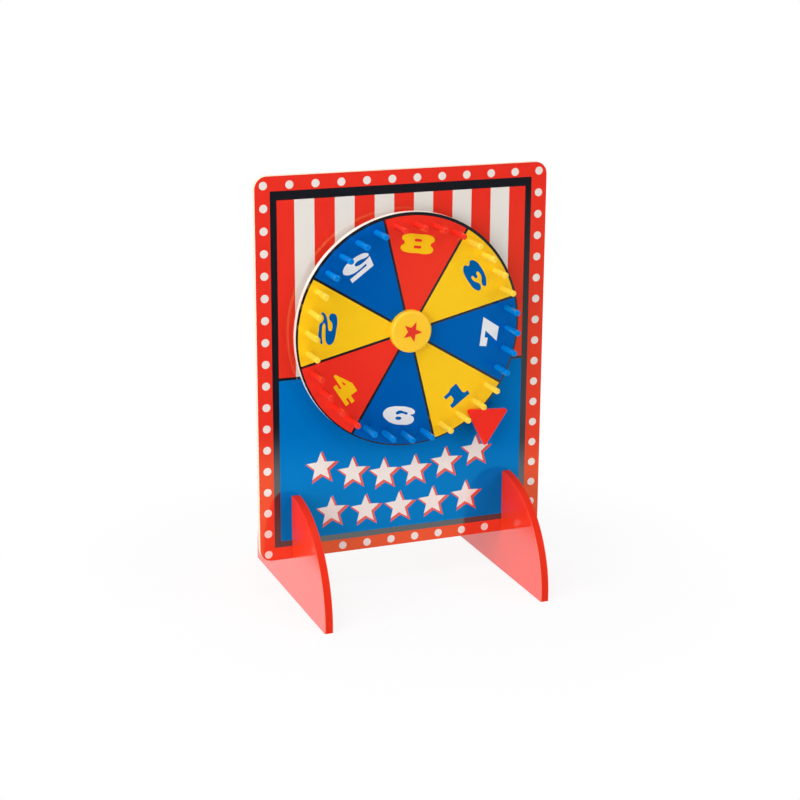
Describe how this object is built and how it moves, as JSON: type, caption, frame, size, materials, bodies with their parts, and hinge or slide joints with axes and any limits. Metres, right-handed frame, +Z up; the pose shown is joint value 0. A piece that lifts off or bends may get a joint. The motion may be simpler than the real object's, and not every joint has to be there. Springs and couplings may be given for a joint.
{
  "type": "carnival game wheel",
  "caption": "Table-top carnival game wheel: numbered wheel with pegs turning on an upright printed board, hanging pointer, slot-in half-round feet.",
  "frame": {"origin": "on the floor, midway between the two feet and between their front and back ends", "axes": "+Z up, +X to the viewer's right, -Y towards the viewer, out of the wheel's face"},
  "size_m": [0.3, 0.218, 0.422],
  "materials": {
    "board_core": "bare fibreboard edge and back, sealed",
    "board_print": "printed sheet under gloss laminate",
    "foot_paint": "red gloss lacquer on fibreboard",
    "wheel_core": "white painted fibreboard",
    "wheel_print": "printed sheet under gloss laminate",
    "peg_red": "gloss",
    "peg_yellow": "gloss",
    "peg_blue": "gloss",
    "hub_cap": "gloss",
    "hub_star": "gloss print",
    "pointer_red": "gloss",
    "white_nylon": "matt",
    "zinc_steel": "bright zinc plate"
  },
  "bodies": {
    "stand": {"back_board": "board_core", "board_print": "board_print", "left_foot": "foot_paint", "right_foot": "foot_paint", "axle_bolt": "zinc_steel", "axle_back_washer": "zinc_steel", "axle_front_washer": "zinc_steel", "axle_clamp_nut": "zinc_steel", "slip_washer": "white_nylon", "keeper_washer": "zinc_steel", "lock_nut": "zinc_steel", "pointer_sleeve": "pointer_red"},
    "wheel": {"wheel_disc": "wheel_core", "wheel_print": "wheel_print", "wheel_bush": "white_nylon", "pegs_red": "peg_red", "pegs_yellow": "peg_yellow", "pegs_blue": "peg_blue", "hub_cap": "hub_cap", "hub_star": "hub_star"},
    "pointer": {"pointer": "pointer_red", "stem_washer": "zinc_steel", "stem_screw": "zinc_steel"}
  },
  "joints": [
    {"name": "wheel_spin", "type": "hinge", "parent": "stand", "child": "wheel", "pos_m": [0, 0, 0.267], "axis": [0, 1, 0], "continuous": true},
    {"name": "pointer_swing", "type": "hinge", "parent": "stand", "child": "pointer", "pos_m": [0.08193, 0, 0.17025], "axis": [0, -1, 0], "range_deg": [-10, 90]}
  ]
}
